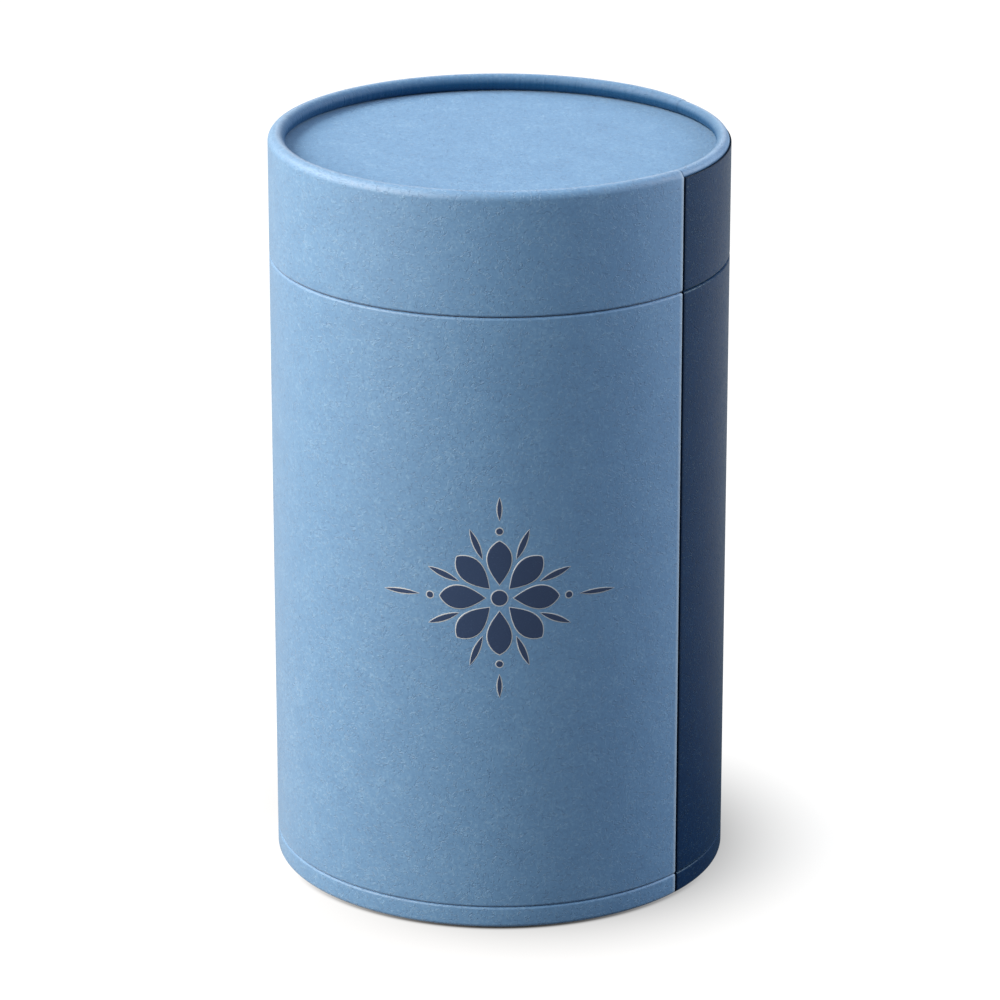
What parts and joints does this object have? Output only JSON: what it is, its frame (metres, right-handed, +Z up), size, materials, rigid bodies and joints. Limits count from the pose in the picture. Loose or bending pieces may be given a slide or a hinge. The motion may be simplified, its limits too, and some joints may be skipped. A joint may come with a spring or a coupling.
{
  "type": "cylindrical gift tube box",
  "caption": "Cylindrical paper-covered board tube box with a lift-off lid on an inner neck, a rolled rim, a contrasting side panel and a base band.",
  "frame": {"origin": "centre of the foot, on the surface that the box stands on", "axes": "+Z up along the tube's axis; the front faces -Y, and the side panel begins at its right"},
  "size_m": [0.1, 0.1, 0.1655],
  "materials": {
    "light_blue_paper": "matte",
    "navy_paper": "matte",
    "white_lining_paper": "matte",
    "grey_board": "matte"
  },
  "bodies": {
    "box": {"body_tube": "grey_board", "body_wrap": "light_blue_paper", "body_side_panel": "navy_paper", "inner_tube": "grey_board", "neck_facing": "white_lining_paper", "inner_lining": "white_lining_paper", "base_ring": "grey_board", "base_band": "light_blue_paper", "base_side_panel": "navy_paper", "base_disc": "grey_board", "floor_sheet": "white_lining_paper", "base_sheet": "light_blue_paper"},
    "lid": {"lid_tube": "grey_board", "lid_rim_binding": "light_blue_paper", "lid_wrap": "light_blue_paper", "lid_side_panel": "navy_paper", "lid_top_disc": "grey_board", "lid_top_sheet": "light_blue_paper", "lid_ceiling_sheet": "white_lining_paper", "lid_lining": "white_lining_paper"}
  },
  "joints": [
    {"name": "lid_lift", "type": "slide", "parent": "box", "child": "lid", "axis": [0, 0, 1], "range_m": [0, 0.08]}
  ]
}
